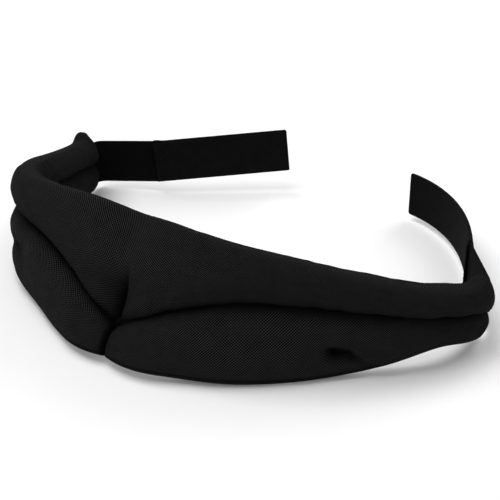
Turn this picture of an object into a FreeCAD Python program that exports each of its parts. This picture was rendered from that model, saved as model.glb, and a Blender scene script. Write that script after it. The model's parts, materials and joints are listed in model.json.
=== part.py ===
import FreeCAD, Part
import math
import os

# A padded wrap-around sleep mask: two padded halves that meet at a nose dart, each one a forehead
# roll over a cheek pad, with a strap sewn into each padded tip. +Z is up and the nose points
# towards -Y. Right is +X. Lengths are millimetres and angles are degrees.

V = FreeCAD.Vector
UP = V(0, 0, 1)
SIDES = {"right": 1, "left": -1}
FACES = {"front": 1, "back": -1}

# Cross-sections of a padded half, from the nose line out to the tip: how far along the band each
# one lies, how high the long seam runs there, how far the band leans back, and the height and
# thickness of the forehead roll above the seam and of the cheek pad below it.
SECTION_COLUMNS = ("along", "seam", "lean", "brow_tall", "brow_thick", "cheek_tall", "cheek_thick")
SECTIONS = {
    "nose": (2, 21, 39, 64, 6, 18.5, 4),
    "bridge": (14, 28, 32, 57, 12, 26.5, 10),
    "inner_eye": (35, 38, 21, 45, 15, 36.5, 14),
    "eye": (70, 45.5, 14, 33, 16, 46, 17),
    "outer_eye": (105, 43.5, 9, 26.5, 17, 43, 16),
    "temple": (140, 38.5, 5, 22.5, 17, 33.5, 14),
    "ear": (178, 31, 0, 20, 17, 20, 13),
    "end": (208, 22, -4, 19.5, 16, 20, 13),
    "tip": (219, 20, -4, 15, 8, 15, 7),
}

# The band's plan is a chain of tangent arcs on each side: the length of each and its turn.
BENDS = {
    "right": {"nose": (25, 21), "eye": (60, 13), "temple": (65, 5), "ear": (69, 48)},
    "left": {"nose": (25, 21), "eye": (57.5, -2), "temple": (65, 64), "ear": (71.5, -14)},
}

# Each strap: its turn inwards at the padded tip, its rise along its length, its elastic run, the
# bend where the tape is sewn on, and the length and turn of the hook-and-loop tab.
STRAPS = {
    "right": {"kink": 43, "rise": 0, "elastic_run": 44, "join_bend": -14, "tab_run": 92, "tab_turn": 55},
    "left": {"kink": 88, "rise": 5.2, "elastic_run": 44, "join_bend": -12, "tab_run": 84, "tab_turn": 0},
}

COMMON = {
    "nose_x": -14.2,
    "nose_y": -103.4,
    "lift": -0.85,
    "skin": 1,
    "fit_gap": 0.1,
    "split_gap": 0.1,
    "strap_width": 30,
    "elastic_thick": 1.6,
    "webbing_thick": 1.2,
    "tape_thick": 1.4,
    "tape_width": 28,
    "webbing_margin": 0,
    "tape_margin": 1.5,
    "hinge_gap": 2.6,
    "join_gap": 1.2,
    "thread_width": 0.6,
    "stitch_run": 3,
    "stitch_pitch": 5,
    "seam_depth": 3.2,
    "tack_run": 8,
    "tack_width": 1.2,
    "tack_height_right": -25,
    "tack_height_left": -21,
    "tack_along_right": 124,
    "tack_along_left": 96,
    "tack_clearance": 0.3,
    "bartack_clearance": 0.4,
    "bartack_from": 0.3,
    "bartack_to": 0.7,
    "border_inset": 2,
    "border_corner": 3,
    "join_row_gap": 2.5,
    "dart_along": 2,
    "dart_low": -12,
    "dart_high": 22,
    "dart_clearance": 0.5,
}

HALF_OVAL_STEPS = 8
POINT_DIGITS = 6
MESH_TOLERANCE = 1e-4


def start_document():
    """Open the document and fill its sheet, one named cell for each driving dimension."""
    doc = FreeCAD.newDocument("sleep_mask")
    sheet = doc.addObject("Spreadsheet::Sheet", "sizes")
    values = dict(COMMON)
    for section, row in SECTIONS.items():
        for column, value in zip(SECTION_COLUMNS, row):
            values[f"{column}_{section}"] = value
    for side, bends in BENDS.items():
        for name, (run, turn) in bends.items():
            values[f"{side}_{name}_run"] = run
            values[f"{side}_{name}_turn"] = turn
    for side, strap in STRAPS.items():
        for name, value in strap.items():
            values[f"{side}_{name}"] = value
    for row, (alias, value) in enumerate(values.items(), start=1):
        sheet.set(f"A{row}", alias.replace("_", " "))
        sheet.set(f"B{row}", str(value))
        sheet.setAlias(f"B{row}", alias)
    doc.recompute()
    return doc, sheet


def bind(item, **formulas):
    """Tie an object's properties to the sheet; names in braces are cells."""
    for prop, formula in formulas.items():
        item.setExpression(prop, formula.replace("{", "sizes.").replace("}", ""))


class Band:
    """The padded band's geometry on one side, worked out from the sheet."""

    def __init__(self, sheet, side):
        self.sheet = sheet
        self.side = side
        self.sign = SIDES[side]

    def cell(self, name):
        return float(getattr(self.sheet, name))

    def plan(self, along):
        """Point and heading of the band's plan line, walking out from the nose."""
        point = V(self.cell("nose_x"), self.cell("nose_y"), self.cell("lift"))
        heading = 0.0
        left_over = along
        for name in BENDS[self.side]:
            run = self.cell(f"{self.side}_{name}_run")
            turn = math.radians(self.cell(f"{self.side}_{name}_turn"))
            step = left_over if name == "ear" else min(left_over, run)
            swept = turn * step / run
            middle = heading + swept / 2
            chord = step * math.sin(swept / 2) / (swept / 2) if swept else step
            point += V(self.sign * math.cos(middle), math.sin(middle), 0) * chord
            heading += swept
            left_over -= step
        return point, heading

    def frame(self, along, seam, lean):
        """Placement of a cross-section: X up the band, Y out of its front, origin on the seam."""
        point, heading = self.plan(along)
        point += UP * seam
        outward = V(self.sign * math.sin(heading), -math.cos(heading), 0)
        tilt = math.radians(lean)
        up = UP * math.cos(tilt) - outward * math.sin(tilt)
        front = outward * math.cos(tilt) + UP * math.sin(tilt)
        return FreeCAD.Placement(point, FreeCAD.Rotation(up, front, up.cross(front), "XYZ"))

    def section(self, name, shift=0.0):
        along, seam, lean = (self.cell(f"{column}_{name}") for column in SECTION_COLUMNS[:3])
        return self.frame(along + shift, seam, lean)

    def between(self, along, height, out):
        """Frame at any distance along, moved up the band and out of its front."""
        names = list(SECTIONS)
        stops = [self.cell(f"along_{name}") for name in names]
        last = len(stops) - 2
        index = min(max(i for i in range(len(stops)) if i == 0 or stops[i] <= along), last)
        share = (along - stops[index]) / (stops[index + 1] - stops[index])

        def mix(column):
            low, high = (self.cell(f"{column}_{name}") for name in names[index:index + 2])
            return low + share * (high - low)

        place = self.frame(along, mix("seam"), mix("lean"))
        return place.multiply(FreeCAD.Placement(V(height, out, 0), FreeCAD.Rotation()))

    def surface(self, along, part, height):
        """How far the skin of a pad stands out at a height measured from the seam."""
        names = list(SECTIONS)
        stops = [self.cell(f"along_{name}") for name in names]
        index = max(i for i in range(len(stops) - 1) if stops[i] <= along)
        share = (along - stops[index]) / (stops[index + 1] - stops[index])

        def mix(column):
            low, high = (self.cell(f"{column}_{name}") for name in names[index:index + 2])
            return low + share * (high - low)

        tall = mix(f"{part}_tall") / 2
        offset = (abs(height) - tall) / tall
        return mix(f"{part}_thick") / 2 * math.sqrt(max(0.0, 1 - offset * offset))


def oval(band, part, section, inset, facings):
    """Points round an elliptical cross-section, drawn in by inset, at angles in half turns.

    An angle of 0 is at the seam and 1 at the far edge of the pad; beyond 1 is round the back.
    """
    tall = band.cell(f"{part}_tall_{section}") / 2
    thick = band.cell(f"{part}_thick_{section}") / 2
    rising = 1 if part == "brow" else -1
    shift = {"nose": inset, "tip": -inset}.get(section, 0.0)
    place = band.section(section, shift)
    points = []
    for facing in facings:
        angle = math.pi * facing
        height = rising * (tall - (tall - inset) * math.cos(angle))
        out = (thick - inset) * math.sin(angle)
        points.append((height, out))
    return place, points


def solid_of(quads):
    """A closed solid of flat triangles, from four-cornered patches whose corners may coincide."""
    points = []
    numbers = {}

    def number(point):
        key = tuple(round(value, POINT_DIGITS) for value in point)
        if key not in numbers:
            numbers[key] = len(points)
            points.append(V(*key))
        return numbers[key]

    triangles = []
    for corners in quads:
        ids = [number(point) for point in corners]
        for trio in ((ids[0], ids[1], ids[2]), (ids[0], ids[2], ids[3])):
            if len(set(trio)) == 3:
                triangles.append(trio)
    shell = Part.Shape()
    shell.makeShapeFromMesh((points, triangles), MESH_TOLERANCE)
    solid = Part.makeSolid(shell)
    if solid.Volume < 0:
        solid.reverse()
    return solid


def patches(grid):
    """The patches of a grid of points, row by row."""
    found = []
    for row, following in zip(grid, grid[1:]):
        for j in range(len(row) - 1):
            found.append((row[j], row[j + 1], following[j + 1], following[j]))
    return found


def skin_grid(band, part, facing, inset):
    """One face of a pad as rows of points, with a closing row across each end."""
    gap = facing * band.cell("split_gap") / 2
    begin = 0 if facing > 0 else 1
    turns = [begin + j / HALF_OVAL_STEPS for j in range(HALF_OVAL_STEPS + 1)]
    grid = []
    for section in SECTIONS:
        place, outline = oval(band, part, section, inset, turns)
        row = [place.multVec(V(height, gap + out, 0)) for height, out in outline]
        flat = [place.multVec(V(height, gap, 0)) for height, out in outline]
        if section == "nose":
            grid.append(flat)
        grid.append(row)
        if section == "tip":
            grid.append(flat)
    return grid


def skin_solid(band, part, facing):
    """A cover or lining: the space between its outer face and its inner face."""
    outer = skin_grid(band, part, facing, 0.0)
    inner = skin_grid(band, part, facing, band.cell("skin"))
    quads = patches(outer)
    quads += [(quad[0], quad[3], quad[2], quad[1]) for quad in patches(inner)]
    quads += patches([[row[0] for row in outer], [row[0] for row in inner]])
    quads += patches([[row[-1] for row in inner], [row[-1] for row in outer]])
    quads += patches([inner[0], outer[0]])
    quads += patches([outer[-1], inner[-1]])
    return solid_of(quads)


def filling_solid(band, part):
    """The foam inside a pad: elliptical all round and flat at both ends."""
    inset = band.cell("skin") + band.cell("fit_gap") + band.cell("split_gap") / 2
    count = 2 * HALF_OVAL_STEPS
    turns = [j / HALF_OVAL_STEPS for j in range(count)]
    grid = []
    for section in SECTIONS:
        place, outline = oval(band, part, section, inset, turns)
        row = [place.multVec(V(height, out, 0)) for height, out in outline]
        grid.append(row + row[:1])
    quads = patches(grid)
    for row, turned in ((grid[0], True), (grid[-1], False)):
        centre = sum(row[:-1], V()) * (1 / count)
        for first, second in zip(row, row[1:]):
            corners = (centre, second, first, first) if turned else (centre, first, second, second)
            quads.append(corners)
    return solid_of(quads)


def padded_half(doc, band):
    """Front cover, back lining and filling of the forehead roll and of the cheek pad."""
    made = []
    for part, words in {"brow": "forehead", "cheek": "cheek"}.items():
        for face, noun in {"front": "cover", "back": "lining"}.items():
            skin = doc.addObject("Part::Feature", f"{band.side}_{words}_{noun}")
            skin.Shape = skin_solid(band, part, FACES[face])
            made.append(skin)
        filling = doc.addObject("Part::Feature", f"{band.side}_{words}_filling")
        filling.Shape = filling_solid(band, part)
        made.append(filling)
    return made


def stitch(doc, band, place, run, width, name):
    """One thread stitch: a short bar lying along the placement's X."""
    bar = doc.addObject("Part::Box", name)
    bind(bar, Length=f"{{{run}}}", Width=f"{{{width}}}", Height=f"{{{width}}}")
    centre = V(-band.cell(run) / 2, -band.cell(width) / 2, -band.cell(width) / 2)
    bar.Placement = place.multiply(FreeCAD.Placement(centre, FreeCAD.Rotation()))
    return bar


def stitches(doc, band, places, name, run="stitch_run", width="thread_width"):
    """A row of stitches kept together as one sub-part."""
    row = doc.addObject("Part::Compound", name)
    bars = [stitch(doc, band, place, run, width, f"{name}_{i}") for i, place in enumerate(places)]
    row.Links = bars
    return row


def steps(first, last, pitch):
    """Evenly spaced values from first to last, about a pitch apart."""
    count = max(1, round((last - first) / pitch))
    return [first + (last - first) * i / count for i in range(count + 1)]


def seam_thread(doc, band):
    """The long seam's stitches, in the valley in front of where roll and pad meet."""
    along_band = FreeCAD.Rotation(V(0, 1, 0), -90)
    first = band.cell("along_bridge")
    last = band.cell("along_end")
    out = band.cell("thread_width") / 2 + band.cell("seam_depth")
    places = []
    for along in steps(first, last, band.cell("stitch_pitch")):
        place = band.between(along, 0, out)
        places.append(place.multiply(FreeCAD.Placement(V(), along_band)))
    return stitches(doc, band, places, f"{band.side}_seam_thread")


def cheek_tack(doc, band):
    """The bar of thread that ties the cheek pad down at its outer corner."""
    along = band.cell(f"tack_along_{band.side}")
    height = band.cell(f"tack_height_{band.side}")
    out = band.surface(along, "cheek", height) + band.cell("tack_width") / 2 + band.cell("tack_clearance")
    place = band.between(along, height, out)
    place = place.multiply(FreeCAD.Placement(V(), FreeCAD.Rotation(V(0, 1, 0), -90)))
    return stitches(doc, band, [place], f"{band.side}_cheek_tack", "tack_run", "tack_width")


def strap_bartack(doc, band):
    """Two short upright rows of thread over the padded tip, holding the strap's sewn-in end."""
    places = []
    along = band.cell("along_end")
    lift = band.cell("thread_width") / 2 + band.cell("bartack_clearance")
    for part, rising in {"brow": 1, "cheek": -1}.items():
        tall = band.cell(f"{part}_tall_end")
        lowest = tall * band.cell("bartack_from")
        highest = tall * band.cell("bartack_to")
        for height in steps(lowest, highest, band.cell("stitch_pitch")):
            out = band.surface(along, part, height) + lift
            places.append(band.between(along, rising * height, out))
    return stitches(doc, band, places, f"{band.side}_strap_bartack")


class Strap:
    """A strap's frame: X along it from its hinge, Y to its left seen from above, Z up its width."""

    def __init__(self, band):
        self.band = band
        self.side = band.side
        self.sign = band.sign
        point, heading = band.plan(band.cell("along_tip") + band.cell("hinge_gap"))
        self.hinge = point + UP * band.cell("seam_tip")
        bearing = math.degrees(heading) + band.cell(f"{self.side}_kink")
        spin = bearing if self.sign > 0 else 180 - bearing
        level = FreeCAD.Rotation(UP, spin)
        rise = FreeCAD.Rotation(V(0, 1, 0), -band.cell(f"{self.side}_rise"))
        self.place = FreeCAD.Placement(self.hinge, level.multiply(rise))
        joint_x = band.cell(f"{self.side}_elastic_run") + band.cell("join_gap")
        bend = FreeCAD.Rotation(UP, self.sign * band.cell(f"{self.side}_join_bend"))
        self.tab_place = self.place.multiply(FreeCAD.Placement(V(joint_x, 0, 0), bend))

    def tab_point(self, along, out, height):
        """A place on the tab: out is towards the outside of the loop, away from the wearer."""
        turn = math.radians(self.band.cell(f"{self.side}_tab_turn"))
        run = self.band.cell(f"{self.side}_tab_run")
        start = self.band.cell("join_gap")
        swept = turn * along / run
        inward = self.sign
        if turn:
            radius = run / turn
            x = start + (radius + out) * math.sin(swept)
            y = inward * (radius - (radius + out) * math.cos(swept))
        else:
            x = start + along
            y = -inward * out
        spot = FreeCAD.Placement(V(x, y, height), FreeCAD.Rotation(UP, inward * math.degrees(swept)))
        return self.tab_place.multiply(spot)


def elastic(doc, strap):
    """The flat elastic between the padded tip and the tab."""
    band = doc.addObject("Part::Box", f"{strap.side}_elastic")
    bind(band, Length=f"{{{strap.side}_elastic_run}}", Width="{elastic_thick}", Height="{strap_width}")
    cell = strap.band.cell
    corner = V(0, -cell("elastic_thick") / 2, -cell("strap_width") / 2)
    band.Placement = strap.place.multiply(FreeCAD.Placement(corner, FreeCAD.Rotation()))
    return band


def straight_layer(doc, strap, name, outer, thick, width, margin):
    """A flat layer of the tab, outer being how far out of its middle its outer face lies."""
    layer = doc.addObject("Part::Box", name)
    length = f"{{{strap.side}_tab_run}} - 2 * {{{margin}}}"
    bind(layer, Length=length, Width=f"{{{thick}}}", Height=f"{{{width}}}")
    cell = strap.band.cell
    lowest = -strap.sign * outer - (cell(thick) if strap.sign < 0 else 0)
    corner = V(cell("join_gap") + cell(margin), lowest, -cell(width) / 2)
    layer.Placement = strap.tab_place.multiply(FreeCAD.Placement(corner, FreeCAD.Rotation()))
    return layer


def curved_layer(doc, strap, name, outer, thick, width, margin):
    """A layer of a tab that curls: its cross-section turned about the centre of the curl."""
    cell = strap.band.cell
    run = cell(f"{strap.side}_tab_run")
    turn = cell(f"{strap.side}_tab_turn")
    radius = run / math.radians(turn)
    face = doc.addObject("Part::Plane", f"{name}_section")
    bind(face, Length=f"{{{thick}}}", Width=f"{{{width}}}")
    start = V(radius + outer - cell(thick), 0, -cell(width) / 2)
    face.Placement = FreeCAD.Placement(start, FreeCAD.Rotation(V(1, 0, 0), 90))
    layer = doc.addObject("Part::Revolution", name)
    layer.Source = face
    layer.Axis = UP * strap.sign
    layer.Solid = True
    bind(layer, Angle=f"{{{strap.side}_tab_turn}} * (1 - 2 * {{{margin}}} / {{{strap.side}_tab_run}})")
    centre = V(cell("join_gap"), strap.sign * radius, 0)
    spin = FreeCAD.Rotation(UP, strap.sign * (turn * cell(margin) / run - 90))
    layer.Placement = strap.tab_place.multiply(FreeCAD.Placement(centre, spin))
    return layer


def tab(doc, strap):
    """The tab: webbing, hook tape inside or loop tape outside, and the thread that holds them."""
    cell = strap.band.cell
    side = strap.side
    layer = curved_layer if cell(f"{side}_tab_turn") else straight_layer
    half = cell("webbing_thick") / 2
    webbing = layer(doc, strap, f"{side}_tab_webbing", half, "webbing_thick", "strap_width", "webbing_margin")
    thread_out = half + cell("thread_width") / 2 + cell("fit_gap")
    if side == "left":
        name = "left_hook_tape"
        outer = -half - cell("fit_gap")
    else:
        name = "right_loop_tape"
        outer = half + cell("fit_gap") + cell("tape_thick")
        thread_out = -thread_out
    tape = layer(doc, strap, name, outer, "tape_thick", "tape_width", "tape_margin")
    return [webbing, tape, *tab_threads(doc, strap, thread_out)]


def tab_threads(doc, strap, out):
    """The stitched border of the tape, and the double row that joins the tab to the elastic."""
    cell = strap.band.cell
    pitch = cell("stitch_pitch")
    inset = cell("tape_margin") + cell("border_inset")
    corner = cell("border_corner")
    last = cell(f"{strap.side}_tab_run") - inset
    half_height = cell("tape_width") / 2 - cell("border_inset")
    upright = FreeCAD.Placement(V(), FreeCAD.Rotation(V(0, 1, 0), 90))
    border = []
    for height in (-half_height, half_height):
        border += [strap.tab_point(along, out, height) for along in steps(inset + corner, last - corner, pitch)]
    rows = steps(corner - half_height, half_height - corner, pitch)
    border += [strap.tab_point(last, out, height).multiply(upright) for height in rows]
    join = []
    for along in (inset, inset + cell("join_row_gap")):
        join += [strap.tab_point(along, out, height).multiply(upright) for height in rows]
    return [
        stitches(doc, strap.band, border, f"{strap.side}_tape_stitching"),
        stitches(doc, strap.band, join, f"{strap.side}_join_stitching"),
    ]


def nose_dart_thread(doc, band):
    """Stitches down the valley of the nose dart, on the right half beside the nose line."""
    along = band.cell("along_nose") + band.cell("dart_along")
    lift = band.cell("thread_width") / 2 + band.cell("dart_clearance")
    places = []
    for height in steps(band.cell("dart_low"), band.cell("dart_high"), band.cell("stitch_pitch")):
        part = "brow" if height > 0 else "cheek"
        out = band.surface(along, part, height) + lift
        places.append(band.between(along, height, out))
    return stitches(doc, band, places, "nose_dart_thread")


def check(doc, pieces):
    """Stop if any object failed to build, or any sub-part has no valid shape."""
    for item in doc.Objects:
        if "Invalid" in item.State or "Error" in item.State:
            raise RuntimeError(f"{item.Name} did not build: {item.State}")
    for piece in pieces:
        if piece.Shape.isNull() or not piece.Shape.isValid():
            raise RuntimeError(f"{piece.Label} has no valid shape")
        if not piece.Shape.Solids:
            raise RuntimeError(f"{piece.Label} holds no solid")


def main():
    doc, sheet = start_document()
    pieces = []
    for side in SIDES:
        band = Band(sheet, side)
        strap = Strap(band)
        pieces += padded_half(doc, band)
        pieces += [seam_thread(doc, band), cheek_tack(doc, band), strap_bartack(doc, band)]
        pieces += [elastic(doc, strap), *tab(doc, strap)]
    pieces.append(nose_dart_thread(doc, Band(sheet, "right")))
    doc.recompute()
    for piece in pieces:
        piece.Label = piece.Name
    check(doc, pieces)
    os.makedirs("parts", exist_ok=True)
    for piece in pieces:
        piece.Shape.exportStep(f"parts/{piece.Label}.step")
        box = piece.Shape.BoundBox
        print(f"{piece.Label}: {piece.Shape.Volume:.0f} mm3, {len(piece.Shape.Solids)} solids,"
              f" x {box.XMin:.1f}..{box.XMax:.1f} y {box.YMin:.1f}..{box.YMax:.1f}"
              f" z {box.ZMin:.2f}..{box.ZMax:.2f}")


main()
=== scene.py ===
import json
import math

import bmesh
import bpy
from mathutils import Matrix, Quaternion, Vector


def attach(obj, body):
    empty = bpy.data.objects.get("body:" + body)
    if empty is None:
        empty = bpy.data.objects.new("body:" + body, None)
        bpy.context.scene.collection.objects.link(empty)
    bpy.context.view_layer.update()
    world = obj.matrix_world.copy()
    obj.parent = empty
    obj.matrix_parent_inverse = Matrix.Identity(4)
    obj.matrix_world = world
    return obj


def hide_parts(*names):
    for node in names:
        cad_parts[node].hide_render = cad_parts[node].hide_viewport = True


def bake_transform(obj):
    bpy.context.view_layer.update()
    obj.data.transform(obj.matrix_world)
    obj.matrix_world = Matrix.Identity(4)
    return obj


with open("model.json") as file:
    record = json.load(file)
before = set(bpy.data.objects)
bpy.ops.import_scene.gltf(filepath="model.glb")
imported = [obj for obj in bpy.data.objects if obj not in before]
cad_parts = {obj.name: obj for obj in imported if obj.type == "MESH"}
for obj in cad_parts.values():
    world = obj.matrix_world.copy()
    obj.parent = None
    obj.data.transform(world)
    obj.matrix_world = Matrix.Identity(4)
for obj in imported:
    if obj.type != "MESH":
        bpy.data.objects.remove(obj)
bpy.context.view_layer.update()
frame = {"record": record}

# A padded wrap-around sleep mask. Points are in metres, lengths along and across it in mm.
# +Z is up and the nose points towards -Y.

MM = 0.001
UP = Vector((0, 0, 1))
SIDES = {"right": 1, "left": -1}
JOINTS = {joint["name"]: joint for joint in frame["record"]["behaviour"]["joints"]}
NOSE = Vector(JOINTS["nose_fold"]["pos_m"])

# Cross-sections from the nose line out to the tip: distance along, seam height above the nose's,
# lean back in degrees, and the height and thickness of the roll above the seam and of the pad below.
SECTIONS = (
    (0, -1.3, 40, 66, 13, 18, 11),
    (14, 7, 32, 57.5, 15, 27, 14),
    (35, 17, 21, 47.5, 15, 37, 15),
    (70, 24.5, 14, 32.5, 16, 46, 17),
    (105, 22.5, 9, 26, 17, 43.5, 16),
    (140, 17.5, 5, 22, 17, 34.5, 14),
    (178, 10, 0, 19.5, 17, 20, 13),
    (208, 2.2, -4, 19, 16, 19, 13),
    (219, 0, -4, 17.5, 14, 16.5, 12),
)
# The columns of SECTIONS after the distance along.
SEAM, LEAN, BROW_TALL, BROW_THICK, CHEEK_TALL, CHEEK_THICK = range(1, 7)
TIP = SECTIONS[-1][0]

# The plan of each side is a chain of tangent arcs: the length of each and its turn in degrees.
BENDS = {
    "right": ((25, 21), (60, 13), (65, 5), (69, 48)),
    "left": ((25, 21), (57.5, -2), (65, 64), (71.5, -14)),
}

# The left half lies a little differently, each as (how much, how far along, over what width):
# it rides higher, its roll leans in at the top, and its inner face wrinkles.
LEFT_LIFT = (3.0, 120, 35)
LEFT_LEAN_IN = (2.5, 125, 40)
LEFT_WRINKLES = (0.9, 122, 16)
WRINKLES_PER_MM = 0.57
# Its cheek pad also tucks in, by this much at this height under the seam.
LEFT_TUCK = 4.5
LEFT_TUCK_HEIGHT = 45

# How full a section is: the power of the sine, below 1 for one fuller than an ellipse.
FULLNESS = 0.72
# How far each pad reaches past the long seam, and how much further the roll does at the nose.
OVERLAP = 1.0
NOSE_OVERLAP = 1.5
# Beside the long seam a pad sinks in: by which share of its thickness, and over what height.
FRONT_VALLEY = (0.8, 3.6)
BACK_VALLEY = (0.5, 2.5)
# Over the valley the roll's front swells near the nose, and its lower edge hangs over the seam:
# how far, at what height and over what height.
SWELL = (1.4, 7, 4)
OVERHANG = (1.8, 3.5, 2.5)

# At the tip each end is drawn back: everywhere, at the roll's top, at its bottom and at the cheek
# pad's far edge. The roll's top also rises there.
TIP_TRIM = {"right": 0, "left": 3}
TOP_CUT = {"right": 6, "left": 6}
BOTTOM_CUT = {"right": 6, "left": 0}
CHEEK_CUT = 8
TIP_RISE = {"right": 7, "left": 9}
# The last stretch of a pad that is rounded off, and the share of its squared fullness lost there.
ROUND_TIP = 5.0
TIP_LOSS = 0.93
# The same for a cheek pad at the nose, and half the gap between the two pads.
ROUND_NOSE = 3.0
NOSE_LOSS = 0.8
NOSE_GAP = 0.2
# How near the nose line the roll's two halves run into one rounded arch.
NOSE_ROUND = 21.0

# The dart over the nose: how much it leans to the right for its height, how steep it falls on the
# right, how wide it opens on the left at its foot and for its height, and where it fades out.
DART_LEAN = 0.28
DART_STEEP = 1.3
DART_OPEN = 2.0
DART_WIDENS = 0.12
DART_FADE = (13, 27)

# Where each cheek pad is tacked down: distance along and height from the seam.
TACKS = {"right": (123, -25), "left": (96, -21)}
# The tack's dimple: half the slot's length and height; the shallow saddle round it (depth, half
# length, half height); and the crease that runs on from it (its start beside the tack, its length,
# how far it drops, its depth and its half width).
SLOT = (7.5, 3.0)
SADDLE = (0.22, 20, 11)
CREASE = (5, 22, 10, 0.55, 2.4)

# The hem near the cheek pad's far edge: its angle round the section, its width in radians, and how
# much it takes off the pad's height and thickness.
HEM_ANGLE = math.pi - 0.44
HEM_WIDE = 0.13
HEM_HEIGHT = 0.8
HEM_DEPTH = 3

# How wide the painted shade in the creases is: on the roll, on the cheek pads and at the nose in mm, and
# behind in radians.
BROW_SHADE = 3.4
CHEEK_SHADE = 3.0
NOSE_SHADE = 2.2
BACK_SHADE = 0.6

# The vertices round a section, the mesh's pitch along the covers and the fillings, and how far
# inside the covers the fillings lie.
LOOP = 56
COVER_PITCH = 2.6
FILLING_PITCH = 5
FILLING_INSET = 2.6


def hermite(low, high, low_slope, high_slope, gap, share):
    """A cubic from low to high with the slope given at each end."""
    square = share * share
    cube = square * share
    value = (2 * cube - 3 * square + 1) * low + (3 * square - 2 * cube) * high
    return value + gap * ((cube - 2 * square + share) * low_slope + (cube - square) * high_slope)


def column(along, which):
    """A column of SECTIONS at a distance along, smoothed between its rows."""
    rows = SECTIONS
    along = min(along, TIP)
    last = len(rows) - 1
    index = 0
    while index < last - 1 and rows[index + 1][0] <= along:
        index += 1

    def slope(i):
        before = max(i - 1, 0)
        after = min(i + 1, last)
        return (rows[after][which] - rows[before][which]) / (rows[after][0] - rows[before][0])

    gap = rows[index + 1][0] - rows[index][0]
    share = min((along - rows[index][0]) / gap, 1.0)
    low = rows[index][which]
    high = rows[index + 1][which]
    return hermite(low, high, slope(index), slope(index + 1), gap, share)


def bell(value, centre, width):
    """1 at the centre, falling softly to 0 on both sides."""
    return math.exp(-(((value - centre) / width) ** 2))


def smooth(value, low, high):
    """0 below low, 1 above high and a soft step between."""
    share = min(max((value - low) / (high - low), 0.0), 1.0)
    return share * share * (3 - 2 * share)


def plan(side, along):
    """Point and heading of the band's plan line, walking out from the nose."""
    point = NOSE.copy()
    heading = 0.0
    rest = along
    bends = BENDS[side]
    for number, (run, turn) in enumerate(bends):
        step = rest if number == len(bends) - 1 else min(rest, run)
        swept = math.radians(turn) * step / run
        middle = heading + swept / 2
        chord = step * MM * (math.sin(swept / 2) / (swept / 2) if swept else 1)
        point += Vector((SIDES[side] * math.cos(middle), math.sin(middle), 0)) * chord
        heading += swept
        rest -= step
    return point, heading


def band_frame(side, along, row):
    """Seam point, direction up the band and direction out of its front, at a distance along.
    row is the distance at which the seam's height and the lean are read."""
    point, heading = plan(side, along)
    level = column(row, SEAM)
    if side == "left":
        rise, centre, width = LEFT_LIFT
        level += rise * bell(along, centre, width)
    point = point + UP * level * MM
    outward = Vector((SIDES[side] * math.sin(heading), -math.cos(heading), 0))
    lean = math.radians(column(row, LEAN))
    up = UP * math.cos(lean) - outward * math.sin(lean)
    front = outward * math.cos(lean) + UP * math.sin(lean)
    return point, up, front


def on_band(side, along, height, out, row):
    """A point of the band: height up from the seam and out of the front."""
    point, up, front = band_frame(side, along, row)
    return point + (up * height + front * out) * MM


def spaced(first, last, pitch, fine=(), fine_pitch=1.0, reach=8.0):
    """Values from first to last a pitch apart, closer together near each of the fine places."""
    values = [first]
    while values[-1] < last - 1e-6:
        near = min((abs(values[-1] - place) for place in fine), default=math.inf)
        step = fine_pitch if near < reach else pitch
        values.append(min(values[-1] + step, last))
    return values


# A place round a pad's section is an angle: 0 at the long seam, half a turn at the far edge, with
# the front in between and the back on the way home.


def edge_share(angle):
    """How far from the seam to the far edge an angle round a section is, from 0 to 1."""
    return (1 - math.cos(angle)) / 2


def reach_out(angle, thick):
    """How far out of the band's middle a section reaches at an angle round it."""
    wave = math.sin(angle)
    return math.copysign(abs(wave) ** FULLNESS, wave) * thick / 2


def inset_at(angle, inset):
    """How much of an inset is taken off a section's reach: all over its faces, none at its edges."""
    return inset * max(-1.0, min(1.0, 2 * math.sin(angle)))


def beside_seam(height, front):
    """The share of a pad's thickness that is left at a height beside the long seam."""
    depth, width = FRONT_VALLEY if front else BACK_VALLEY
    return 1 - depth * bell(height, 0, width)


def tip_share(along):
    """How full the pad still is at a distance along: 1, falling to a rounded end at the tip."""
    past = max(0.0, (along - (TIP - ROUND_TIP)) / ROUND_TIP)
    return math.sqrt(max(0.0, 1 - TIP_LOSS * past * past))


def dart_depth(place, height):
    """How deep in the dart over the nose a point of the roll lies, from 0 to 1."""
    beside = place - DART_LEAN * max(height, 0)
    reach = DART_STEEP if beside > 0 else DART_OPEN + DART_WIDENS * max(height, 0)
    return math.exp(-abs(beside) / reach) * (1 - smooth(height, *DART_FADE))


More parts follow.
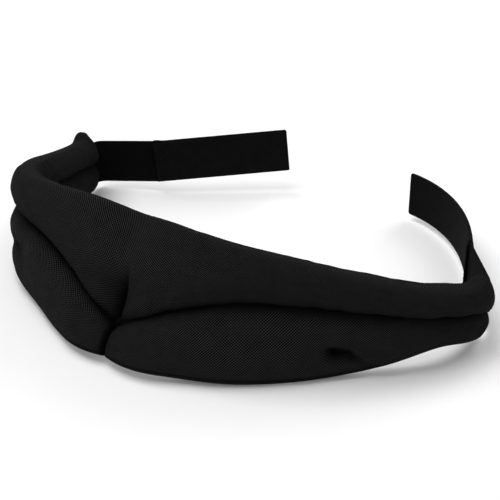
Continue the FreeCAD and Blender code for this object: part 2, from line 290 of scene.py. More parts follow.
def brow_point(place, angle, inset):
    """A point of the forehead roll. place is along the band, negative on the left."""
    side = "left" if place < 0 else "right"
    along = abs(place)
    share = edge_share(angle)
    front = math.sin(angle) > 0
    row = math.hypot(along, NOSE_ROUND * smooth(share, 0.05, 0.42))
    full = tip_share(along)
    overlap = OVERLAP + NOSE_OVERLAP * math.exp(-along / 3)
    tall = column(row, BROW_TALL) * (0.8 + 0.2 * full) + overlap
    thick = column(row, BROW_THICK) * full
    height = tall * share - overlap
    out = reach_out(angle, thick)
    out *= 1 - (1.3 if front else 0.3) * dart_depth(place, height)
    out *= beside_seam(max(height, 0), front)
    if front:
        swell, centre, width = SWELL
        out += swell * bell(height, centre, width) * (1 - smooth(along, 30, 90)) * smooth(along, 4, 14)
        hang, centre, width = OVERHANG
        height -= hang * bell(height, centre, width) * smooth(along, 3, 20)
    if side == "left" and not front:
        depth, centre, width = LEFT_WRINKLES
        wave = depth * math.sin(angle) * math.sin(along * WRINKLES_PER_MM + share)
        out -= wave * bell(along, centre, width)
    if side == "left":
        lean_in, centre, width = LEFT_LEAN_IN
        out -= lean_in * share * bell(along, centre, width)
    height += TIP_RISE[side] * bell(along, TIP - 4, 11) * share**3
    middle = tall / 2 - overlap
    height = middle + (height - middle) * (1 - 2 * inset / tall)
    out -= inset_at(angle, inset)
    cut = TIP_TRIM[side] + TOP_CUT[side] * share**2 + BOTTOM_CUT[side] * (1 - share) ** 2
    return on_band(side, along - cut * smooth(along, 195, TIP), height, out, row)


def brow_painted_shade(place, angle):
    """How much painted shade darkens a point of the forehead roll, from 0 to 1: beside the long seam, in
    the nose dart and along the back seam.
    """
    if math.sin(angle) < 0:
        return bell(angle, 2 * math.pi, BACK_SHADE)
    height = column(abs(place), BROW_TALL) * edge_share(angle)
    return min(1.0, 1.2 * bell(height, 0, BROW_SHADE) + 1.3 * dart_depth(place, height) ** 0.6)


def dimple_at(side, along, height, spread):
    """How far the tack pulls a cheek pad in at a place, from 0 to 1. spread widens the dimple."""
    tack_along, tack_height = TACKS[side]
    beside = along - tack_along
    below = height - tack_height
    half_long, half_high = SLOT
    pull = math.exp(-((beside / (half_long + spread)) ** 4) - (below / (half_high + spread)) ** 2)
    depth, half_long, half_high = SADDLE
    pull += depth * bell(beside, 0, half_long) * bell(below, 0, half_high)
    start, length, drop, depth, half_wide = CREASE
    share = (beside - start) / length
    if 0 < share < 1:
        pull += depth * bell(below + drop * share, 0, half_wide + spread) * (1 - share)
    return min(pull, 1.0)


def cheek_point(side, along, angle, inset):
    """A point of a cheek pad."""
    share = edge_share(angle)
    front = math.sin(angle) > 0
    full = tip_share(along)
    tall = column(along, CHEEK_TALL) * (0.85 + 0.15 * full) + OVERLAP
    past = max(0.0, 1 - along / ROUND_NOSE)
    thick = column(along, CHEEK_THICK) * full * math.sqrt(1 - NOSE_LOSS * past * past)
    height = OVERLAP - tall * share
    out = reach_out(angle, thick)
    out *= 1 - (1.12 if front else 0.35) * dimple_at(side, along, height, 1.5 * inset)
    out *= beside_seam(min(height, 0), front)
    if side == "left":
        tuck = LEFT_TUCK * (height / LEFT_TUCK_HEIGHT) ** 2
        out -= tuck * smooth(along, 30, 70) * (1 - smooth(along, 140, 175))
    hem = bell(angle, HEM_ANGLE, HEM_WIDE)
    middle = OVERLAP - tall / 2
    height = middle + (height - middle) * (1 - 2 * (inset + HEM_HEIGHT * hem * full) / tall)
    out *= max(0.1, 1 - HEM_DEPTH * hem / max(thick, 1))
    out -= inset_at(angle, inset)
    cut = TIP_TRIM[side] + CHEEK_CUT * share**1.5
    back = along - cut * smooth(along, 185, TIP)
    return on_band(side, back, height, out, back)


def cheek_painted_shade(side, along, angle):
    """How much painted shade darkens a point of a cheek pad, from 0 to 1: beside the long seam, at the
    nose, along the hem, in the tack's dimple and along the back seam.
    """
    if math.sin(angle) < 0:
        return bell(angle, 2 * math.pi, BACK_SHADE)
    height = -column(along, CHEEK_TALL) * edge_share(angle)
    seam = 1.2 * bell(height, 0, CHEEK_SHADE) + bell(along, 0, NOSE_SHADE)
    hem = 0.7 * bell(angle, HEM_ANGLE, 0.1)
    return min(1.0, seam + hem + 1.3 * dimple_at(side, along, height, -0.5) ** 2)


def mesh_object(name, points, faces, uvs=None):
    """A mesh object from points in metres, with one UV for each face corner."""
    mesh = bpy.data.meshes.new(name)
    mesh.from_pydata([tuple(point) for point in points], [], faces)
    if uvs:
        layer = mesh.uv_layers.new(name="UVMap")
        layer.data.foreach_set("uv", [value for uv in uvs for value in uv])
    mesh.validate()
    mesh.update()
    piece = bpy.data.objects.new(name, mesh)
    bpy.context.scene.collection.objects.link(piece)
    for face in mesh.polygons:
        face.use_smooth = True
    return piece


def tube(name, rings, painted_shades, flip=False):
    """A closed skin over rings of points, with a small fan over each end. UVs are in cm. The last
    argument holds, for each point, how much painted shade darkens its colour in creases and seams; it is
    stored as a point attribute, with the end fans' centres fully shaded."""
    count = len(rings[0])
    points = [point for ring in rings for point in ring]
    faces = []
    uvs = []
    lengths = [0.0]
    for ring, following in zip(rings, rings[1:]):
        lengths.append(lengths[-1] + (following[count // 4] - ring[count // 4]).length * 100)
    girth = [0.0]
    widest = max(rings, key=lambda ring: (ring[count // 2] - ring[0]).length)
    for j in range(count):
        girth.append(girth[-1] + (widest[(j + 1) % count] - widest[j]).length * 100)
    for i in range(len(rings) - 1):
        for j in range(count):
            k = (j + 1) % count
            face = [i * count + j, i * count + k, (i + 1) * count + k, (i + 1) * count + j]
            corner = [
                (lengths[i], girth[j]),
                (lengths[i], girth[j + 1]),
                (lengths[i + 1], girth[j + 1]),
                (lengths[i + 1], girth[j]),
            ]
            faces.append(face[::-1] if flip else face)
            uvs += corner[::-1] if flip else corner
    for index, turned in ((0, not flip), (len(rings) - 1, flip)):
        centre = len(points)
        points.append(sum(rings[index], Vector()) / count)
        for j in range(count):
            k = (j + 1) % count
            face = [centre, index * count + j, index * count + k]
            corner = [(lengths[index], 0.5), (lengths[index], girth[j]), (lengths[index], girth[j + 1])]
            faces.append(face[::-1] if turned else face)
            uvs += corner[::-1] if turned else corner
    piece = mesh_object(name, points, faces, uvs)
    attribute = piece.data.attributes.new("crease_shade", "FLOAT", "POINT")
    attribute.data.foreach_set("value", painted_shades + [1.0, 1.0])
    return piece


def angles():
    """Angles round a pad's section. They lie closer together beside the seam and the hem."""
    even = [2 * math.pi * j / LOOP for j in range(LOOP)]
    return [angle - 0.22 * math.sin(2 * angle) for angle in even]


def brow_tube(name, pitch, inset=0.0):
    """The forehead roll, with the places along it at which its rings stand."""
    last = TIP - inset
    places = spaced(-last, last, pitch, fine=(-last, 0, last))
    rings = [[brow_point(place, angle, inset) for angle in angles()] for place in places]
    # Painted shade for the roll's creases and seams, one value per point.
    painted_shades = [brow_painted_shade(place, angle) for place in places for angle in angles()]
    return tube(name, rings, painted_shades, flip=True), places


def cheek_tube(name, side, pitch, inset=0.0):
    """A cheek pad, with the places along it at which its rings stand."""
    first = NOSE_GAP + 1.5 * inset
    last = TIP - inset
    places = spaced(first, last, pitch, fine=(first, TACKS[side][0], last), reach=10)
    rings = [[cheek_point(side, place, angle, inset) for angle in angles()] for place in places]
    # Painted shade for the pad's creases, seams, hem and dimple, one value per point.
    painted_shades = [cheek_painted_shade(side, place, angle) for place in places for angle in angles()]
    return tube(name, rings, painted_shades, flip=side == "left"), places


# The cloth simulation: the pressure from inside, how much too large the cloth is cut, its frames,
# and how far it may move a point of the cover.
PRESSURE = 2.0
SLACK = 0.014
FRAMES = 20
MOST_MOVE = 0.9 * MM


def inflate(piece, held):
    """Blow the cloth up a little from inside, with the held vertices fixed, and keep the result."""
    mesh = piece.data
    before = [vertex.co.copy() for vertex in mesh.vertices]
    group = piece.vertex_groups.new(name="held")
    group.add(held, 1.0, "REPLACE")
    cloth = piece.modifiers.new("Cloth", "CLOTH")
    settings = cloth.settings
    settings.quality = 6
    settings.mass = 0.3
    settings.tension_stiffness = 25
    settings.compression_stiffness = 25
    settings.shear_stiffness = 15
    settings.bending_stiffness = 0.6
    settings.use_pressure = True
    settings.uniform_pressure_force = PRESSURE
    settings.effector_weights.gravity = 0
    settings.vertex_group_mass = "held"
    settings.shrink_min = -SLACK
    cloth.point_cache.frame_start = 1
    cloth.point_cache.frame_end = FRAMES
    scene = bpy.context.scene
    for frame_number in range(1, FRAMES + 1):
        scene.frame_set(frame_number)
    graph = bpy.context.evaluated_depsgraph_get()
    shaped = piece.evaluated_get(graph).data
    moved = [vertex.co.copy() for vertex in shaped.vertices]
    piece.modifiers.remove(cloth)
    piece.vertex_groups.clear()
    scene.frame_set(1)
    for vertex, old, new in zip(mesh.vertices, before, moved):
        step = new - old
        if step.length > MOST_MOVE:
            step *= MOST_MOVE / step.length
        vertex.co = old + step
    mesh.update()


def rest_on_floor(piece):
    """Press flat whatever would reach below the floor."""
    for vertex in piece.data.vertices:
        vertex.co.z = max(vertex.co.z, 0.0)


def subdivide(piece):
    """Apply one level of subdivision surface to the piece."""
    modifier = piece.modifiers.new("Subdivision", "SUBSURF")
    modifier.levels = 1
    modifier.render_levels = 1
    graph = bpy.context.evaluated_depsgraph_get()
    mesh = bpy.data.meshes.new_from_object(piece.evaluated_get(graph))
    piece.modifiers.remove(modifier)
    old = piece.data
    piece.data = mesh
    bpy.data.meshes.remove(old)
    mesh.name = piece.name


def nodes_of(material):
    """The node tree of a material, with its principled shader."""
    material.use_nodes = True
    tree = material.node_tree
    return tree, tree.nodes["Principled BSDF"]


class Graph:
    """Short calls for wiring a procedural material."""

    def __init__(self, name):
        self.material = bpy.data.materials.new(name)
        self.tree, self.shader = nodes_of(self.material)

    def node(self, kind, **settings):
        made = self.tree.nodes.new(kind)
        for name, value in settings.items():
            setattr(made, name, value)
        return made

    def link(self, source, target):
        self.tree.links.new(source, target)

    def put(self, socket, value):
        """Link a socket into an input, or set the input to a number."""
        if isinstance(value, bpy.types.NodeSocket):
            self.link(value, socket)
        else:
            socket.default_value = value

    def maths(self, operation, first, second=0.0):
        """One sum of two numbers or sockets."""
        made = self.node("ShaderNodeMath", operation=operation)
        self.put(made.inputs[0], first)
        self.put(made.inputs[1], second)
        return made.outputs[0]

    def uv(self):
        return self.node("ShaderNodeTexCoord").outputs["UV"]

    def noise(self, vector, scale, detail=2.0, roughness=0.5):
        made = self.node("ShaderNodeTexNoise")
        self.link(vector, made.inputs["Vector"])
        made.inputs["Scale"].default_value = scale
        made.inputs["Detail"].default_value = detail
        made.inputs["Roughness"].default_value = roughness
        return made.outputs["Fac"]

    def ramp(self, value, low, high):
        """A colour between low and high by a value from 0 to 1."""
        made = self.node("ShaderNodeMix", data_type="RGBA")
        self.put(made.inputs[0], value)
        made.inputs[6].default_value = (*low, 1)
        made.inputs[7].default_value = (*high, 1)
        return made.outputs[2]

    def bump(self, height, distance):
        """Roughen the surface by a height, distance metres deep."""
        made = self.node("ShaderNodeBump")
        made.inputs["Distance"].default_value = distance
        self.link(height, made.inputs["Height"])
        self.link(made.outputs["Normal"], self.shader.inputs["Normal"])

    def dull(self, roughness, specular, sheen, sheen_roughness):
        """Set how dull the cloth is."""
        self.shader.inputs["Roughness"].default_value = roughness
        self.shader.inputs["Specular IOR Level"].default_value = specular
        self.shader.inputs["Sheen Weight"].default_value = sheen
        self.shader.inputs["Sheen Roughness"].default_value = sheen_roughness


def grey(value):
    """A near-neutral black, very slightly cool."""
    return (value, value, value * 1.06)


# Painted shade: the near-black colour laid into the creases, the seams, the nose dart, the hem and the
# tack's dimple.
PAINTED_CREASE_SHADE = grey(0.0004)


def twill(name, pitch_cm, low, high, depth, sheen):
    """Woven cloth whose yarns cross on the bias, slightly uneven, with its raised yarns painted lighter
    as if lit and painted shade darkening it nearly to black in its creases and seams.
    """
    g = Graph(name)
    parts = g.node("ShaderNodeSeparateXYZ")
    g.link(g.uv(), parts.inputs[0])
    across, around = parts.outputs[0], parts.outputs[1]
    turn = 2 * math.pi / (pitch_cm * math.sqrt(2))
    first = g.maths("SINE", g.maths("MULTIPLY", g.maths("ADD", across, around), turn))
    second = g.maths("SINE", g.maths("MULTIPLY", g.maths("SUBTRACT", across, around), turn * 0.97))
    weave = g.maths("ADD", g.maths("MULTIPLY", first, 0.6), g.maths("MULTIPLY", second, 0.4))
    fuzz = g.noise(g.uv(), 38, 3, 0.6)
    cloud = g.noise(g.uv(), 1.1, 2)
    height = g.maths("ADD", g.maths("MULTIPLY", weave, 0.7), g.maths("MULTIPLY", fuzz, 0.5))
    # The tone follows the weave: painted light on the raised yarns and painted shade between them, plus
    # random cloudy and fuzzy unevenness that is the cloth's own.
    weave_light_and_tone = g.maths("ADD", g.maths("MULTIPLY", weave, 0.9), g.maths("MULTIPLY", cloud, 0.25))
    weave_light_and_tone = g.maths("ADD", weave_light_and_tone, g.maths("MULTIPLY", fuzz, 0.4))
    shade = g.ramp(weave_light_and_tone, low, high)
    # Painted shade: the point attribute mixes the colour towards near black where shade falls in creases
    # and seams.
    crease_shade = g.node("ShaderNodeAttribute", attribute_name="crease_shade").outputs["Fac"]
    darkened = g.node("ShaderNodeMix", data_type="RGBA")
    g.link(crease_shade, darkened.inputs[0])
    g.link(shade, darkened.inputs[6])
    darkened.inputs[7].default_value = (*PAINTED_CREASE_SHADE, 1)
    g.link(darkened.outputs[2], g.shader.inputs["Base Color"])
    g.dull(roughness=0.85, specular=0.02, sheen=sheen, sheen_roughness=0.45)
    g.bump(height, depth)
    return g.material


def ribbed(name, ribs_per_cm, low, high, depth, cross, sheen):
    """Webbing or elastic: ribs along its length, crossed by finer ones. UVs are in cm."""
    g = Graph(name)
    parts = g.node("ShaderNodeSeparateXYZ")
    g.link(g.uv(), parts.inputs[0])
    turn = 2 * math.pi * ribs_per_cm
    ribs = g.maths("SINE", g.maths("MULTIPLY", parts.outputs[1], turn))
    picks = g.maths("SINE", g.maths("MULTIPLY", parts.outputs[0], turn * 1.3))
    fuzz = g.noise(g.uv(), 30, 3, 0.6)
    height = g.maths("ADD", g.maths("MULTIPLY", ribs, 0.4), g.maths("MULTIPLY", picks, cross))
    height = g.maths("ADD", height, g.maths("MULTIPLY", fuzz, 0.7))
    g.link(g.ramp(g.maths("MULTIPLY", height, 0.8), low, high), g.shader.inputs["Base Color"])
    g.dull(roughness=0.9, specular=0.05, sheen=sheen, sheen_roughness=0.5)
    g.bump(height, depth)
    return g.material


def tape_face(name, scale, low, high, depth):
    """Hook or loop tape: a dense field of small points. UVs are in cm."""
    g = Graph(name)
    cells = g.node("ShaderNodeTexVoronoi", feature="F1")
    g.link(g.uv(), cells.inputs["Vector"])
    cells.inputs["Scale"].default_value = scale
    points = g.maths("SUBTRACT", 1.0, cells.outputs["Distance"])
    fuzz = g.noise(g.uv(), scale * 2.5, 3, 0.65)
    height = g.maths("ADD", points, g.maths("MULTIPLY", fuzz, 0.6))
    cloud = g.noise(g.uv(), 1.4, 2)
    g.link(g.ramp(cloud, low, high), g.shader.inputs["Base Color"])
    g.dull(roughness=0.88, specular=0.06, sheen=0.01, sheen_roughness=0.5)
    g.bump(height, depth)
    return g.material


def thread_material():
    """Dull black sewing thread with a fine twist."""
    g = Graph("sewing_thread")
    g.shader.inputs["Base Color"].default_value = (*grey(0.004), 1)
    g.shader.inputs["Roughness"].default_value = 0.8
    g.shader.inputs["Specular IOR Level"].default_value = 0.1
    twist = g.node("ShaderNodeTexWave", bands_direction="DIAGONAL")
    g.link(g.node("ShaderNodeTexCoord").outputs["Object"], twist.inputs["Vector"])
    twist.inputs["Scale"].default_value = 900
    g.bump(twist.outputs["Fac"], 0.00006)
    return g.material


COVER = twill("cover_cloth", 0.118, grey(0.0002), grey(0.042), depth=0.0008, sheen=0.004)
INNER = twill("foam_filling", 0.3, grey(0.01), grey(0.02), depth=0.0002, sheen=0.02)
ELASTIC = ribbed("ribbed_elastic", 9, grey(0.0016), grey(0.0045), depth=0.00015, cross=0.2, sheen=0.005)
WEBBING = ribbed("woven_webbing", 7, grey(0.002), grey(0.006), depth=0.00015, cross=0.3, sheen=0.01)
HOOK = tape_face("hook_tape_face", 9, grey(0.002), grey(0.005), depth=0.0003)
LOOP_FACE = tape_face("loop_tape_face", 6, grey(0.003), grey(0.007), depth=0.0005)
THREAD = thread_material()


def finish(piece, material):
    """Give a piece its material."""
    piece.data.materials.clear()
    piece.data.materials.append(material)
    return piece


# The rows of vertices round a section that the seam, the far edge and the hem hold still, and those
# that the tack holds.
SEAM_ROWS = (*range(6), *range(LOOP - 5, LOOP), *range(LOOP // 2 - 8, LOOP // 2 + 3))
TACK_ROWS = range(13, 19)


def held_rows(ring, rows=range(LOOP)):
    """The vertices of a ring in the given rows round the section."""
    return [ring * LOOP + row for row in rows]


def build_brow():
    """The forehead roll over both halves: its stuffed cover and its filling."""
    cover, places = brow_tube("forehead_cover", COVER_PITCH)
    held = []
    for ring, place in enumerate(places):
        held += held_rows(ring, SEAM_ROWS)
        if abs(place) < 3:
            held += held_rows(ring, range(LOOP // 4))
        if abs(place) > TIP - 3:
            held += held_rows(ring)
    inflate(cover, sorted(set(held)))
    rest_on_floor(cover)
    subdivide(cover)
    finish(cover, COVER)
    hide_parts(*[f"{side}_forehead_{part}" for side in SIDES for part in ("cover", "lining")])
    filling, _ = brow_tube("forehead_filling", FILLING_PITCH, inset=FILLING_INSET)
    finish(filling, INNER)
    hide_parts("right_forehead_filling", "left_forehead_filling")
    for piece in (cover, filling):
        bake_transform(piece)


def build_cheek(side):
    """A cheek pad: its stuffed cover and its filling."""
    cover, places = cheek_tube(f"{side}_cheek_cover_sewn", side, COVER_PITCH)
    held = []
    for ring, along in enumerate(places):
        held += held_rows(ring, SEAM_ROWS)
        if along < 2 or along > TIP - 3:
            held += held_rows(ring)
        if abs(along - TACKS[side][0]) < 4:
            held += held_rows(ring, TACK_ROWS)
    inflate(cover, sorted(set(held)))
    rest_on_floor(cover)
    subdivide(cover)
    finish(cover, COVER)
    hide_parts(f"{side}_cheek_cover", f"{side}_cheek_lining")
    filling, _ = cheek_tube(f"{side}_cheek_filling_foam", side, FILLING_PITCH, inset=FILLING_INSET)
    finish(filling, INNER)
    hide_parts(f"{side}_cheek_filling")
    for piece in (cover, filling):
        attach(piece, f"{side}_half")


def ribbon(name, path, width, thick, corner=0.0):
    """A flat band over a path of (point, up, out), width along up and thick along out, in mm.
    The corners at its far end are rounded by corner. UVs are in cm."""
    half = width / 2
    edge = thick / 2
    outline = []
    for quarter in range(4):
        rounding = (half - edge) * (1 if quarter in (0, 3) else -1)
        for step in range(4):
            angle = math.radians(90 * quarter + 90 * step / 3)
            outline.append((rounding + edge * math.cos(angle), edge * math.sin(angle)))
    lengths = [0.0]
    for first, second in zip(path, path[1:]):
        lengths.append(lengths[-1] + (second[0] - first[0]).length / MM)
    points = []
    for (point, up, out), length in zip(path, lengths):
        left = lengths[-1] - length
        trim = 0.0
        if left < corner:
            past = 1 - left / corner
            trim = corner * (1 - math.sqrt(max(0.0, 1 - past * past)))
        for high, deep in outline:
            points.append(point + (up * (high * (half - trim) / half) + out * deep) * MM)
    count = len(outline)
    girth = [high / 10 for high, _ in outline]
    faces = []
    uvs = []
    for i in range(len(path) - 1):
        near = lengths[i] / 10
        far = lengths[i + 1] / 10
        for j in range(count):
            k = (j + 1) % count
            faces.append((i * count + j, i * count + k, (i + 1) * count + k, (i + 1) * count + j))
            uvs += [(near, girth[j]), (near, girth[k]), (far, girth[k]), (far, girth[j])]
    for i, turned in ((0, True), (len(path) - 1, False)):
        ring = list(range(i * count, (i + 1) * count))
        faces.append(tuple(reversed(ring)) if turned else tuple(ring))
        uvs += [(lengths[i] / 10, girth[j % count]) for j in (reversed(ring) if turned else ring)]
    return mesh_object(name, points, faces, uvs)


def thread_run(name, stitches, length, thick):
    """Stitches as one mesh. Each is (middle, direction along, direction out), arched over the cloth
    with its ends sunk into it."""
    points = []
    faces = []
    around = 6
    rows = 5
    arch = 0.35
    sunk = 0.25
    for middle, along, out in stitches:
        beside = along.cross(out).normalized()
        base = len(points)
        for i in range(rows):
            share = 2 * i / (rows - 1) - 1
            lift = arch * (1 - share * share) - sunk
            size = thick / 2 * math.sqrt(1.02 - 0.7 * share * share)
            centre = middle + (along * (share * length / 2) + out * (lift * thick)) * MM
            for j in range(around):
                angle = 2 * math.pi * j / around
                points.append(centre + (beside * math.cos(angle) + out * math.sin(angle)) * size * MM)
        for i in range(rows - 1):
            for j in range(around):
                k = (j + 1) % around
                near = base + i * around
                far = near + around
                faces.append((near + j, near + k, far + k, far + j))
        faces.append(tuple(base + j for j in reversed(range(around))))
        faces.append(tuple(base + (rows - 1) * around + j for j in range(around)))
    piece = mesh_object(name, points, faces)
    repair = bmesh.new()
    repair.from_mesh(piece.data)
    bmesh.ops.recalc_face_normals(repair, faces=repair.faces)
    repair.to_mesh(piece.data)
    repair.free()
    return finish(piece, THREAD)


class Strap:
    """The line of a strap: where it is sewn into the tip, its elastic and its tab."""

    # How far the elastic starts inside the tip, over what length it bends there, and its length.
    SEWN_IN = 12
    BEND_REACH = 7 * MM
    ELASTIC_RUN = 44.0
    # From the elastic's end to the tab, the tab's length, its curl and its angle to the elastic.
    JOIN_GAP = 1.2
    TAB_RUN = {"right": 92.0, "left": 84.0}
    TAB_TURN = {"right": 55.0, "left": 0.0}
    JOIN_BEND = {"right": -14.0, "left": -12.0}

    def __init__(self, side):
        self.side = side
        self.sign = SIDES[side]
        self.hinge = Vector(JOINTS[f"{side}_strap_swing"]["pos_m"])
        flex = JOINTS[f"{side}_tab_flex"]
        self.flex = Vector(flex["pos_m"])
        self.up = Vector(flex["axis"]) * self.sign
        self.up.normalize()
        self.along = (self.flex - self.hinge).normalized()
        self.out = self.along.cross(self.up).normalized() * self.sign
        bend = Quaternion(self.up, math.radians(self.sign * self.JOIN_BEND[side]))
        self.tab_along = bend @ self.along
        self.tab_out = bend @ self.out

    def elastic_path(self):
        """From inside the padded tip, round the bend at its end and on to the tab."""
        entry, _, _ = band_frame(self.side, TIP - self.SEWN_IN, TIP)
        _, heading = plan(self.side, TIP)
        start = Vector((self.sign * math.cos(heading), math.sin(heading), 0))
        corner = self.hinge
        reach = self.BEND_REACH
        knots = [entry, corner - start * reach]
        steps = 9
        for i in range(1, steps):
            share = i / steps
            first = corner - start * (reach * (1 - share))
            second = corner + self.along * (reach * share)
            knots.append(first.lerp(second, share))
        knots.append(corner + self.along * reach)
        last = corner + self.along * (self.ELASTIC_RUN * MM)
        knots += [knots[-1].lerp(last, share) for share in (0.2, 0.4, 0.6, 0.8, 1.0)]
        path = []
        for i, point in enumerate(knots):
            before = knots[max(i - 1, 0)]
            after = knots[min(i + 1, len(knots) - 1)]
            way = (after - before).normalized()
            lift = smooth((point - entry).length / MM, 6, 24)
            up = UP.lerp(self.up, lift)
            up = (up - way * up.dot(way)).normalized()
            path.append((point, up, way.cross(up) * self.sign))
        return path

    def curl(self, share):
        """How far the tab has turned after a share of its length: more and more towards its end."""
        return math.radians(self.TAB_TURN[self.side]) * (0.55 * share + 0.45 * share * share)

    def tab_point(self, along, out):
        """A point of the tab, along from the flex line and out from its middle, with the directions
        up, out and along it."""
        run = self.TAB_RUN[self.side]
        spot = Vector((0, 0))
        share = max(0.0, (along - self.JOIN_GAP) / run)
        count = max(1, math.ceil(share * 40))
        for i in range(count):
            heading = self.curl(share * (i + 0.5) / count)
            spot += Vector((math.cos(heading), -math.sin(heading))) * (share * run / count)
        heading = self.curl(share)
        forward = self.tab_along * math.cos(heading) - self.tab_out * math.sin(heading)
        outward = self.tab_along * math.sin(heading) + self.tab_out * math.cos(heading)
        lead = min(along, self.JOIN_GAP)
        base = self.flex + self.tab_along * (lead + spot.x) * MM + self.tab_out * (spot.y * MM)
        return base + outward * (out * MM), self.up, outward, forward


STRAP_WIDE = 30
ELASTIC_THICK = 1.6
WEBBING_THICK = 1.2
TAPE_WIDE = 28.4
TAPE_THICK = 1.4
# The tape lies on this face of the tab: 1 on its outside and -1 on its inside.
TAPE_FACE = {"right": 1, "left": -1}
TAPE_KIND = {"right": "loop", "left": "hook"}
TAPE_MATERIAL = {"right": LOOP_FACE, "left": HOOK}
# How far the middle of the tape lies from the tab's middle, and how far webbing and tape step out
# where they lie over the end of the elastic.
TAPE_REST = 1.32
TAPE_STEP = 0.2
WEBBING_STEP = 1.45
# How far out the stitches lie on the tape's face and on the bare webbing.
TAPE_FACE_OUT = 2.02
WEBBING_FACE_OUT = 0.6
STITCH_LIFT = 0.02
# The stitched border: its distance from the strap's middle line and from the tab's end, its pitch,
# and the two rows that join the tab to the elastic, either side of the flex line.
BORDER_HALF = 12.2
BORDER_END = 3.5
BORDER_PITCH = 3.4
JOIN_ROWS = (-2.0, 0.6)
JOIN_PITCH = 3.05


def over_elastic(along):
    """1 where the tab lies over the end of its elastic, easing to 0 past it."""
    return 1 - smooth(along, -1, 4)


def build_elastic(strap):
    """The elastic from inside the tip to the tab."""
    side = strap.side
    path = strap.elastic_path()
    elastic = ribbon(f"{side}_elastic_strap", path, STRAP_WIDE, ELASTIC_THICK)
    finish(elastic, ELASTIC)
    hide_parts(f"{side}_elastic")
    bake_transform(elastic)


def tab_path(strap, places, offset_at):
    """The tab's line at places along it, moved out by offset_at(along)."""
    return [strap.tab_point(along, offset_at(along))[:3] for along in places]


def tab_stitches(strap):
    """The stitches of the tape's border and of the join, on both faces of the tab."""
    tape = TAPE_FACE[strap.side]
    faces = ((tape, TAPE_FACE_OUT, TAPE_STEP), (-tape, WEBBING_FACE_OUT, WEBBING_STEP))
    last = strap.JOIN_GAP + strap.TAB_RUN[strap.side] - BORDER_END
    border = []
    join = []

    def sew(stitches, along, height, upright):
        for facing, rest, lift in faces:
            offset = facing * (rest + lift * over_elastic(along) + STITCH_LIFT)
            point, up, outward, forward = strap.tab_point(along, offset)
            way = up if upright else forward
            stitches.append((point + up * (height * MM), way, outward * facing))

    for height in (-BORDER_HALF, BORDER_HALF):
        for along in spaced(4.0, last - 1, BORDER_PITCH):
            sew(border, along, height, False)
    for height in spaced(1.7 - BORDER_HALF, BORDER_HALF - 1.7, BORDER_PITCH):
        sew(border, last, height, True)
    for along in JOIN_ROWS:
        for height in spaced(-BORDER_HALF, BORDER_HALF, JOIN_PITCH):
            sew(join, along, height, True)
    return border, join


def build_tab(strap):
    """The tab's webbing, its tape and their stitches."""
    side = strap.side
    tape_face = TAPE_FACE[side]
    end = strap.JOIN_GAP + strap.TAB_RUN[side]
    places = spaced(-3.0, end, 2.5, fine=(0, end), reach=4, fine_pitch=0.5)
    path = tab_path(strap, places, lambda along: -tape_face * WEBBING_STEP * over_elastic(along))
    webbing = ribbon(f"{side}_tab_webbing_band", path, STRAP_WIDE, WEBBING_THICK, corner=1.5)
    finish(webbing, WEBBING)
    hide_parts(f"{side}_tab_webbing")

    short = [along for along in places if along <= end - 1.0]
    path = tab_path(strap, short, lambda along: tape_face * (TAPE_REST + TAPE_STEP * over_elastic(along)))
    kind = TAPE_KIND[side]
    tape = ribbon(f"{side}_{kind}_tape_strip", path, TAPE_WIDE, TAPE_THICK, corner=1.2)
    finish(tape, TAPE_MATERIAL[side])
    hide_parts(f"{side}_{kind}_tape")

    border, join = tab_stitches(strap)
    border = thread_run(f"{side}_tape_border_stitches", border, length=2.1, thick=0.32)
    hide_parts(f"{side}_tape_stitching")
    join = thread_run(f"{side}_join_stitches", join, length=2.1, thick=0.32)
    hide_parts(f"{side}_join_stitching")
    for piece in (webbing, tape, border, join):
        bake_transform(piece)


def pad_surface(side, along, height):
    """A place on the front of the roll (height over the seam) or the cheek pad (height below 0)."""
    if height > 0:
        tall = column(along, BROW_TALL) + OVERLAP
        share = min(max((height + OVERLAP) / tall, 0.0), 1.0)
        return brow_point(SIDES[side] * along, math.acos(1 - 2 * share), 0.0)
    tall = column(along, CHEEK_TALL) + OVERLAP
    share = min(max((OVERLAP - height) / tall, 0.0), 1.0)
    return cheek_point(side, along, math.acos(1 - 2 * share), 0.0)


def front_of(side, along, height):
    """A place on the pads' front, with the directions along the band, up it and out of it."""
    ahead = pad_surface(side, along + 0.5, height) - pad_surface(side, along - 0.5, height)
    above = pad_surface(side, along, height + 0.5) - pad_surface(side, along, height - 0.5)
    out = ahead.cross(above).normalized() * SIDES[side]
    return pad_surface(side, along, height), ahead.normalized(), above.normalized(), out


def seam_stitches(side):
    """The long seam between roll and pad, from near the nose to near the tip."""
    stitches = []
    for along in spaced(6, TIP - 8, 3.6):
        point, _, front = band_frame(side, along, along)
        behind, _, _ = band_frame(side, along - 0.5, along - 0.5)
        before, _, _ = band_frame(side, along + 0.5, along + 0.5)
        stitches.append((point + front * (0.6 * MM), (before - behind).normalized(), front))
    return stitches


def tack_stitches(side):
    """The three by three stitches at the bottom of the tack's dimple."""
    stitches = []
    tack_along, tack_height = TACKS[side]
    for lift in (-0.7, 0.0, 0.7):
        for step in (-2.6, 0.0, 2.6):
            point, ahead, _, out = front_of(side, tack_along + step, tack_height + lift)
            stitches.append((point + out * (0.1 * MM), ahead, out))
    return stitches


def bartack_stitches(side):
    """The upright row that holds the elastic in the tip."""
    stitches = []
    for height in spaced(3, 15, 1.5):
        point, _, above, out = front_of(side, TIP - 5, height)
        stitches.append((point, above, out))
    return stitches


def dart_stitches():
    """The dart over the nose, up the middle of the roll."""
    stitches = []
    for height in spaced(5, 19, 3.4):
        low = pad_surface("right", 0.0, height - 1)
        high = pad_surface("right", 0.0, height + 1)
        way = (high - low).normalized()
        out = Vector((1, 0, 0)).cross(way).normalized()
        stitches.append(((low + high) / 2, way, out))
    return stitches


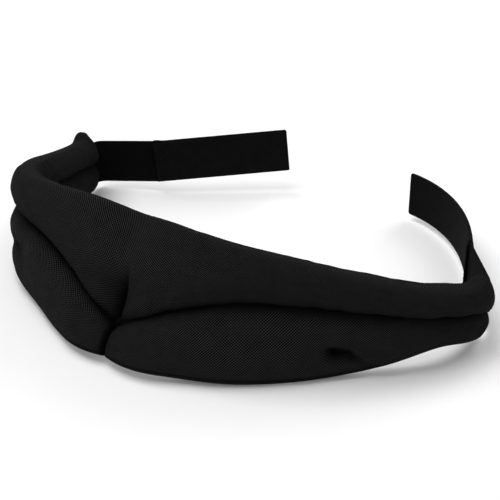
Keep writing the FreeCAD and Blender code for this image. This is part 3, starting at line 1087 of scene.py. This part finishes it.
def build_threads():
    """The threads of each half and of the dart, all sunk into the cloth."""
    for side in SIDES:
        seam = thread_run(f"{side}_seam_stitches", seam_stitches(side), length=2.6, thick=0.5)
        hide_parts(f"{side}_seam_thread")
        tack = thread_run(f"{side}_cheek_tack_stitches", tack_stitches(side), length=3.2, thick=0.5)
        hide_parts(f"{side}_cheek_tack")
        bar = thread_run(f"{side}_strap_bartack_stitches", bartack_stitches(side), length=1.8, thick=0.5)
        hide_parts(f"{side}_strap_bartack")
        for piece in (seam, tack, bar):
            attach(piece, f"{side}_half")
    dart = thread_run("nose_dart_stitches", dart_stitches(), length=2.4, thick=0.45)
    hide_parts("nose_dart_thread")
    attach(dart, "right_half")


# The camera: the place it looks at and its distance in metres, and its sensor and lens in mm.
TARGET = Vector((NOSE.x + 0.0701, NOSE.y + 0.0273, 0.0777))
AZIMUTH = math.radians(34.4)
ELEVATION = math.radians(31.2)
DISTANCE = 0.7
SENSOR = 36
LENS = 97.7256
# Each lamp's place, power in watts and size.
LAMPS = {
    "key": ((-0.45, -0.25, 1.5), 19, 1.1),
    "fill": ((1.1, -1.1, 0.8), 4, 1.0),
    "back": ((0.3, 1.2, 1.1), 7, 0.9),
}


def place_camera():
    """A camera with a long lens, in front on the right and above."""
    back = Vector((
        math.sin(AZIMUTH) * math.cos(ELEVATION),
        -math.cos(AZIMUTH) * math.cos(ELEVATION),
        math.sin(ELEVATION),
    ))
    data = bpy.data.cameras.new("camera")
    camera = bpy.data.objects.new("camera", data)
    camera.location = TARGET + back * DISTANCE
    camera.rotation_euler = back.to_track_quat("Z", "Y").to_euler()
    data.sensor_width = SENSOR
    data.lens = LENS
    data.clip_start = 0.01
    bpy.context.scene.collection.objects.link(camera)
    bpy.context.scene.camera = camera


def build_floor():
    """A plain pale floor."""
    bpy.ops.mesh.primitive_plane_add(size=12)
    floor = bpy.context.object
    floor.name = "floor"
    material = bpy.data.materials.new("floor")
    _, shader = nodes_of(material)
    shader.inputs["Base Color"].default_value = (0.9, 0.9, 0.9, 1)
    shader.inputs["Roughness"].default_value = 0.9
    floor.data.materials.append(material)


def light_studio():
    """A white surround and three soft lamps."""
    world = bpy.data.worlds.new("studio")
    bpy.context.scene.world = world
    world.use_nodes = True
    world.node_tree.nodes["Background"].inputs[0].default_value = (1, 1, 1, 1)
    world.node_tree.nodes["Background"].inputs[1].default_value = 0.4
    for name, (place, power, size) in LAMPS.items():
        lamp = bpy.data.lights.new(name, "AREA")
        lamp.energy = power
        lamp.size = size
        holder = bpy.data.objects.new(name, lamp)
        holder.location = place
        holder.rotation_euler = Vector(place).to_track_quat("Z", "Y").to_euler()
        bpy.context.scene.collection.objects.link(holder)


build_brow()
for side in SIDES:
    build_cheek(side)
for side in SIDES:
    strap = Strap(side)
    build_elastic(strap)
    build_tab(strap)
build_threads()
place_camera()
build_floor()
light_studio()
bpy.context.scene.view_settings.view_transform = "Standard"
